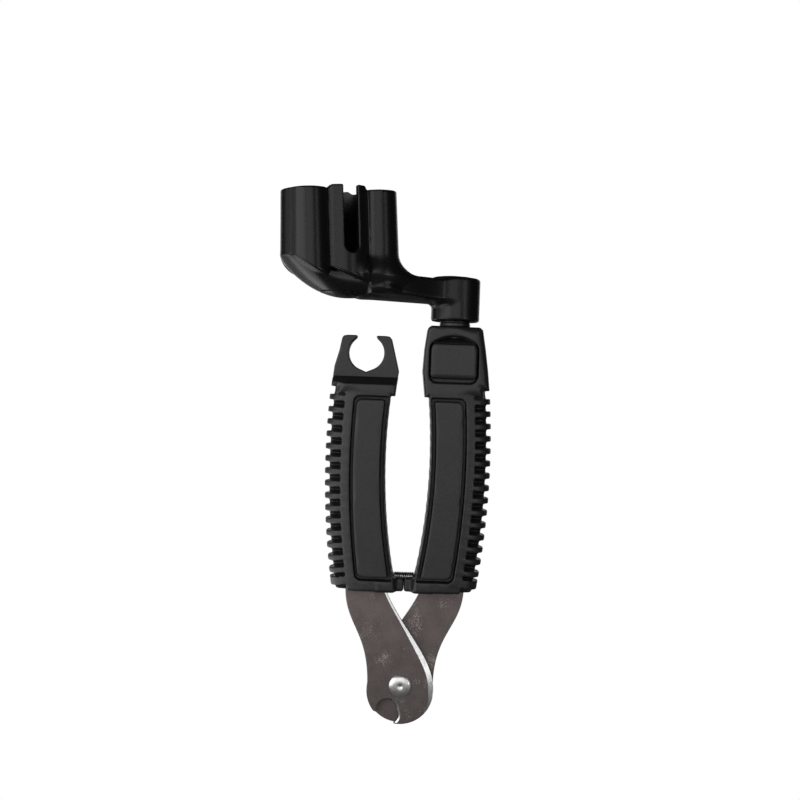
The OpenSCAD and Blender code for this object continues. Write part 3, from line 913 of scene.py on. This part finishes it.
make_blade("front_blade", "left_handle", False)
make_blade("back_blade", "right_handle", True)


# ---- turned pieces ------------------------------------------------------------------------

def rounded(r, h0, h1, edge, steps=6):
    """Profile of a disc from its axis at h0 to its axis at h1, with rounded edges."""
    low = [(r - edge + edge * math.sin(a), h0 + edge - edge * math.cos(a))
           for a in np.linspace(0, math.pi / 2, steps)]
    high = [(r - edge + edge * math.cos(a), h1 - edge + edge * math.sin(a))
            for a in np.linspace(0, math.pi / 2, steps)]
    return [(0, h0)] + low + high + [(0, h1)]


def tube(inner, outer, h0, h1, edge):
    """Profile of a washer or bush with rounded outer edges."""
    return [(inner, h0)] + rounded(outer, h0, h1, edge)[1:-1] + [(inner, h1)]


def make_rivet():
    """The rivet: a low dome with a dimple in front, its shank, and a domed tail at the back."""
    head_r = (corners("pivot_rivet")[1].x - corners("pivot_rivet")[0].x) / 2
    front, back = corners("pivot_rivet")[0].y, corners("pivot_rivet")[1].y
    face = -BLADE_Y1
    dimple = [(0, front + 0.36), (0.4, front + 0.3), (0.75, front + 0.05)]
    dome = [(1.0, front), (1.7, front + 0.04), (2.4, front + 0.15), (2.95, front + 0.32),
            (3.35, front + 0.54), (head_r, front + 0.8)]
    under = [(head_r, face - 0.15), (head_r - 0.12, face - 0.02), (1.95, face - 0.02)]
    tail_r = head_r - 0.6
    tail = [(1.95, back - 1.18), (tail_r, back - 1.18), (tail_r, back - 0.7), (tail_r - 0.3, back - 0.3),
            (tail_r - 1.0, back - 0.06), (1.2, back), (0, back)]
    obj = lathe("pivot_rivet_metal", dimple + dome + under + tail, Vector((0, 0, 0)), (0, 1, 0))
    make_normals_point_out(obj.data)
    finish_piece(obj, RIVET_STEEL, "right_handle", ["pivot_rivet"])
    low, high = corners("rivet_washer")
    washer = lathe("rivet_washer_metal", tube(2.05, (high.x - low.x) / 2, low.y + 0.02, high.y, 0.15),
                   Vector((0, 0, 0)), (0, 1, 0))
    make_normals_point_out(washer.data)
    finish_piece(washer, PLATED, "right_handle", ["rivet_washer"])


def make_shaft_fittings():
    """The flanged bush under the hub, and the thrust washer on it."""
    foot = Vector((SHAFT.x, SHAFT.y, 0))
    low, high = corners("shaft_bush")
    flange_r, bush_r, bore = (high.x - low.x) / 2, 3.95, SHAFT_R + 0.05
    flange_z = HANDLE_Z1 + 0.02
    profile = [(bore, low.z), (bush_r, low.z), (bush_r, flange_z), (flange_r - 0.1, flange_z)]
    profile += [(flange_r, flange_z + 0.1), (flange_r, high.z - 0.25), (flange_r - 0.25, high.z),
                (bore, high.z)]
    bush = lathe("shaft_bush_moulding", profile, foot, (0, 0, 1))
    make_normals_point_out(bush.data)
    finish_piece(bush, BUSH, "right_handle", ["shaft_bush"])
    low, high = corners("thrust_washer")
    washer = lathe("thrust_washer_ring", tube(SHAFT_R + 0.02, (high.x - low.x) / 2, low.z, high.z, 0.12),
                   foot, (0, 0, 1))
    make_normals_point_out(washer.data)
    finish_piece(washer, BUSH, "winder", ["thrust_washer"])


def wire(name, path, radius, sides=10):
    """A round wire along a path of points, closed at both ends."""
    points = [Vector(p) for p in path]
    up = Vector((0, 1, 0.01)).normalized()
    vertices, faces = [], []
    for i, point in enumerate(points):
        ahead = (points[min(i + 1, len(points) - 1)] - points[max(i - 1, 0)]).normalized()
        side = (up - ahead * up.dot(ahead)).normalized()
        up = side
        other = ahead.cross(side)
        for k in range(sides):
            angle = 2 * math.pi * k / sides
            vertices.append(point + (side * math.cos(angle) + other * math.sin(angle)) * radius)
    for i in range(len(points) - 1):
        faces += ring_faces(i * sides, (i + 1) * sides, sides)
    faces += [list(range(sides))[::-1], [len(vertices) - sides + k for k in range(sides)]]
    obj = new_object(name, vertices, faces)
    make_normals_point_out(obj.data)
    return smooth_by_angle(obj, 60)


def make_spring():
    """The extension spring across the lugs: a close coil with a loop at each end."""
    wire_r, turns, half_l, post_x = 0.28, 11, 3.5, 5.0
    r = SPRING_R - wire_r - 0.02
    loop_r = 1.08
    path = []
    for i in range(13):
        a = math.radians(-150 + 300 * i / 12)
        path.append((-post_x - loop_r * math.cos(a), 0, SPRING_Z + loop_r * math.sin(a)))
    steps = turns * 24
    for i in range(steps + 1):
        a = 2 * math.pi * turns * i / steps
        ease = min(1.0, i / 10, (steps - i) / 10)
        x = -half_l + 2 * half_l * i / steps
        path.append((x, r * ease * math.sin(a), SPRING_Z + (0.2 + (r - 0.2) * ease) * math.cos(a)))
    for i in range(13):
        a = math.radians(-150 + 300 * i / 12)
        b = a + math.pi
        path.append((post_x + loop_r * math.cos(b), 0, SPRING_Z + loop_r * math.sin(b)))
    obj = wire("handle_spring_coil", path, wire_r)
    finish_piece(obj, PLATED, None, ["handle_spring"])
    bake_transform(obj)


make_rivet()
make_shaft_fittings()
make_spring()

for node in ("right_tang_pins", "left_tang_pins", "right_shell_screws", "left_shell_screws",
             "winder_shaft", "retaining_clip"):
    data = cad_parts[node].data
    data.materials.clear()
    data.materials.append(PLATED)


# ---- floor, light and camera -----------------------------------------------------------------

def camera_sees(tree, seen, otherwise):
    """Mixes two shaders so that the camera sees the first and the object is lit by the second."""
    choose = tree.nodes.new("ShaderNodeMixShader")
    path = tree.nodes.new("ShaderNodeLightPath")
    tree.links.new(path.outputs["Is Camera Ray"], choose.inputs[0])
    tree.links.new(otherwise, choose.inputs[1])
    tree.links.new(seen, choose.inputs[2])
    return choose.outputs[0]


def make_floor():
    """A pale floor just under the tool's tip."""
    half = 3.0
    z = cad_box[0].z - 0.5 * MM
    square = [(-half, -half, z), (half, -half, z), (half, half, z), (-half, half, z)]
    mesh = bpy.data.meshes.new("floor")
    mesh.from_pydata(square, [], [(0, 1, 2, 3)])
    floor = bpy.data.objects.new("floor", mesh)
    bpy.context.collection.objects.link(floor)
    m = Material("pale_floor", Roughness=0.9)
    m.set("Base Color", m.ramp(m.noise(40, detail=2), (0.3, 0.28), (0.7, 0.32)))
    glow = m.nodes.new("ShaderNodeEmission")
    glow.inputs["Color"].default_value = (1, 1, 1, 1)
    surface = m.nodes["Material Output"].inputs["Surface"]
    m.links.new(camera_sees(m.material.node_tree, glow.outputs[0], m.shader.outputs[0]), surface)
    mesh.materials.append(m.material)


def make_world():
    """White to the camera, dim grey to everything else, so that side walls stay dark."""
    world = bpy.data.worlds.new("studio")
    bpy.context.scene.world = world
    world.use_nodes = True
    tree = world.node_tree
    seen = tree.nodes["Background"]
    seen.inputs["Color"].default_value = (1, 1, 1, 1)
    dim = tree.nodes.new("ShaderNodeBackground")
    dim.inputs["Color"].default_value = (1, 1, 1, 1)
    dim.inputs["Strength"].default_value = 0.03
    surface = tree.nodes["World Output"].inputs["Surface"]
    tree.links.new(camera_sees(tree, seen.outputs[0], dim.outputs[0]), surface)


def softbox(name, at, towards, size, radiance):
    """A rectangular area light at a place in mm in the tool frame, facing another."""
    light = bpy.data.lights.new(name, "AREA")
    light.shape = "RECTANGLE"
    light.size, light.size_y = size[0] * MM, size[1] * MM
    light.energy = radiance * math.pi * light.size * light.size_y
    obj = bpy.data.objects.new(name, light)
    obj.visible_camera = False
    bpy.context.collection.objects.link(obj)
    obj.location = ORIGIN + Vector(at) * MM
    aim = (Vector(towards) - Vector(at)).to_track_quat("-Z", "Y")
    obj.rotation_mode = "QUATERNION"
    obj.rotation_quaternion = aim


def make_camera():
    """The camera stands square to the tool's front, rolled so that the tool leans to the right."""
    distance, lens, tilt = 400, 54, 2.0
    aim = Vector((-3.3, 0, 94.6))
    camera = bpy.data.objects.new("camera", bpy.data.cameras.new("camera"))
    bpy.context.collection.objects.link(camera)
    roll = math.radians(tilt)
    right = Vector((math.cos(roll), 0, math.sin(roll)))
    up = Vector((-math.sin(roll), 0, math.cos(roll)))
    turn = Matrix((right, up, Vector((0, -1, 0)))).transposed()
    place = ORIGIN + (aim + Vector((0, -distance, 0))) * MM
    camera.matrix_world = Matrix.Translation(place) @ turn.to_4x4()
    camera.data.lens = lens
    camera.data.sensor_width = 36
    camera.data.clip_start, camera.data.clip_end = 0.01, 50
    bpy.context.scene.camera = camera


MIDDLE = (0, 0, 90)
make_floor()
make_world()
softbox("front_left", (-560, -470, 70), MIDDLE, (800, 900), 1.9)
softbox("front", (40, -720, 70), MIDDLE, (560, 900), 1.25)
softbox("front_right", (313, -324, 90), MIDDLE, (110, 420), 1.3)
softbox("left_wall", (-760, 60, 60), MIDDLE, (300, 700), 0.5)
softbox("floor_left", (-220, 0, -8), (-215, 0, 140), (370, 420), 1.5)
softbox("right_low", (300, -260, 25), (0, 0, 10), (180, 70), 2.0)
softbox("back_left", (-260, 620, 160), MIDDLE, (350, 500), 0.9)
softbox("back_right", (260, 620, 160), MIDDLE, (350, 500), 0.9)
make_camera()
bpy.context.scene.view_settings.view_transform = "Standard"
